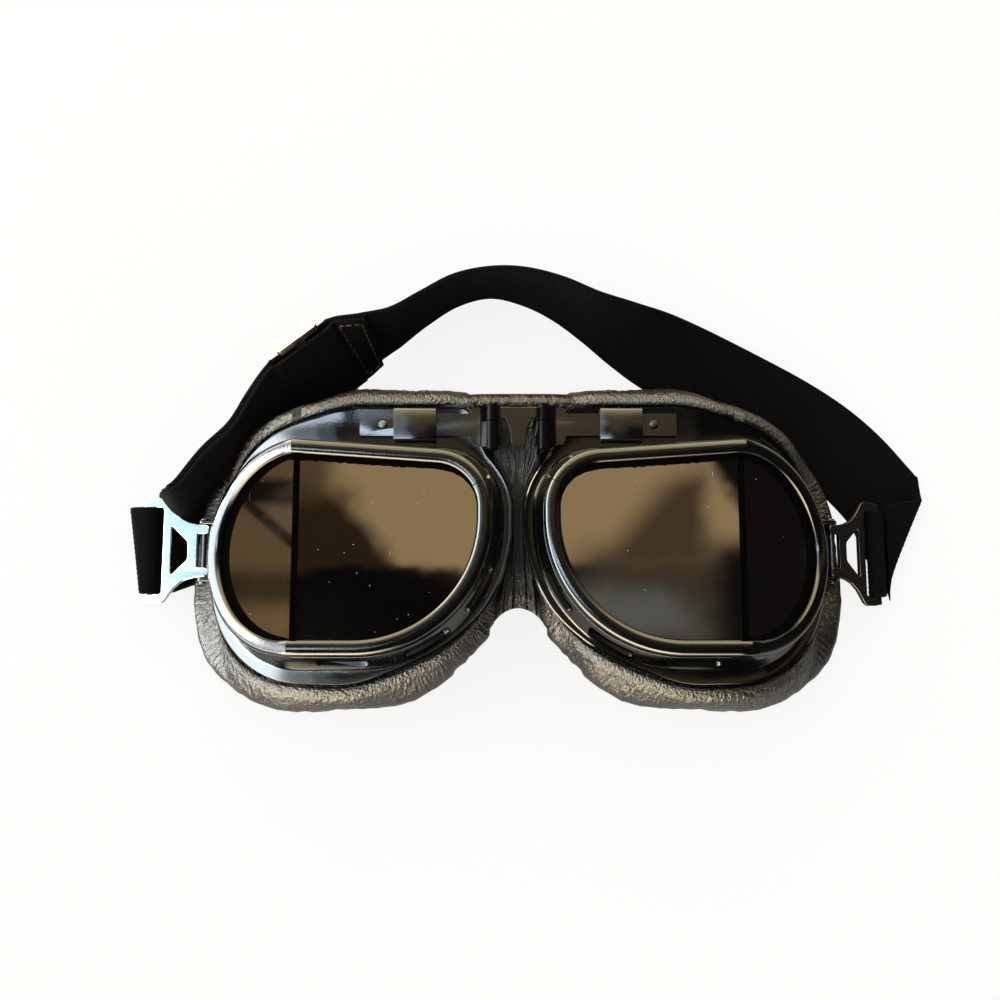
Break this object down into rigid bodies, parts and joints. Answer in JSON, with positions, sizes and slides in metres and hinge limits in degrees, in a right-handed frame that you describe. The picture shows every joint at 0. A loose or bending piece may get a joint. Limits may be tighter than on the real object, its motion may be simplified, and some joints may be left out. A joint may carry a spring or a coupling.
{
  "type": "riding goggles",
  "caption": "Vintage aviator riding goggles: split bent smoke lenses in satin black frames hinged at the nose, leather pads and an elastic strap with clips and a slider.",
  "frame": {"origin": "middle of the bounding box on the plane the face lining lies on", "axes": "+X along the goggles' width, +Y from the nose to the brow, +Z out of the face through the lenses"},
  "size_m": [0.2265, 0.1259, 0.0395],
  "materials": {
    "gloss_black": "gloss black enamel",
    "satin_black": "satin black powder coat",
    "rivet": "worn black",
    "rubber": "matt",
    "smoke_glass": "smoke, half mirrored",
    "seam_black": "matt",
    "gauze": "black perforated sheet",
    "steel_pin": "black oxide",
    "leather": "grained, semi gloss",
    "felt": "matt felt",
    "webbing": "ribbed elastic webbing",
    "clip_steel": "satin",
    "clip_black": "black",
    "buckle_metal": "antique, worn"
  },
  "bodies": {
    "bridge_link": {"link_plate": "gloss_black", "left_hinge_pin": "gloss_black", "right_hinge_pin": "gloss_black", "nose_gusset": "leather", "strap_arch": "webbing"},
    "left_slide_bar": {"left_bar": "gloss_black", "left_stop_rivet": "rivet"},
    "left_frame": {"left_sleeve": "gloss_black", "left_frame_shell": "satin_black", "left_bezel": "satin_black", "left_gasket": "rubber", "left_front_pane": "smoke_glass", "left_side_pane": "smoke_glass", "left_seam_strip": "seam_black", "left_vent_gauze": "gauze", "left_strap_pin": "steel_pin", "left_pad": "leather", "left_lining": "felt", "strap_left_run": "webbing", "strap_left_return": "webbing", "strap_left_fold": "webbing"},
    "left_hook": {"left_clip": "clip_steel", "strap_left_loop": "webbing"},
    "right_slide_bar": {"right_bar": "gloss_black", "right_stop_rivet": "rivet"},
    "right_frame": {"right_sleeve": "gloss_black", "right_frame_shell": "satin_black", "right_bezel": "satin_black", "right_gasket": "rubber", "right_front_pane": "smoke_glass", "right_side_pane": "smoke_glass", "right_seam_strip": "seam_black", "right_vent_gauze": "gauze", "right_strap_pin": "steel_pin", "right_pad": "leather", "right_lining": "felt", "strap_right_run": "webbing", "strap_right_fold": "webbing"},
    "right_hook": {"right_clip": "clip_black", "strap_right_loop": "webbing"},
    "buckle": {"tri_glide": "buckle_metal"}
  },
  "joints": [
    {"name": "left_fold_hinge", "type": "hinge", "parent": "bridge_link", "child": "left_slide_bar", "pos_m": [-0.0122, 0.0118, 0.0304], "axis": [0, 1, 0], "range_deg": [-14, 12], "deforming": ["nose_gusset", "strap_arch"]},
    {"name": "left_width_slide", "type": "slide", "parent": "left_slide_bar", "child": "left_frame", "axis": [-1, 0, 0], "range_m": [-0.0008, 0.0016]},
    {"name": "left_clip_pivot", "type": "hinge", "parent": "left_frame", "child": "left_hook", "pos_m": [-0.09433, -0.0178, 0.01198], "axis": [0, 1, 0], "range_deg": [-12, 60], "deforming": ["strap_left_fold"]},
    {"name": "right_fold_hinge", "type": "hinge", "parent": "bridge_link", "child": "right_slide_bar", "pos_m": [0.002, 0.0118, 0.0304], "axis": [0, -1, 0], "range_deg": [-14, 12]},
    {"name": "right_width_slide", "type": "slide", "parent": "right_slide_bar", "child": "right_frame", "axis": [1, 0, 0], "range_m": [-0.0008, 0.0016]},
    {"name": "right_clip_pivot", "type": "hinge", "parent": "right_frame", "child": "right_hook", "pos_m": [0.08413, -0.0178, 0.01198], "axis": [0, -1, 0], "range_deg": [-1, 80], "deforming": ["strap_right_fold"]},
    {"name": "buckle_slide", "type": "slide", "parent": "left_frame", "child": "buckle", "axis": [0.788, 0.6157, 0], "range_m": [-0.002, 0.002]}
  ]
}
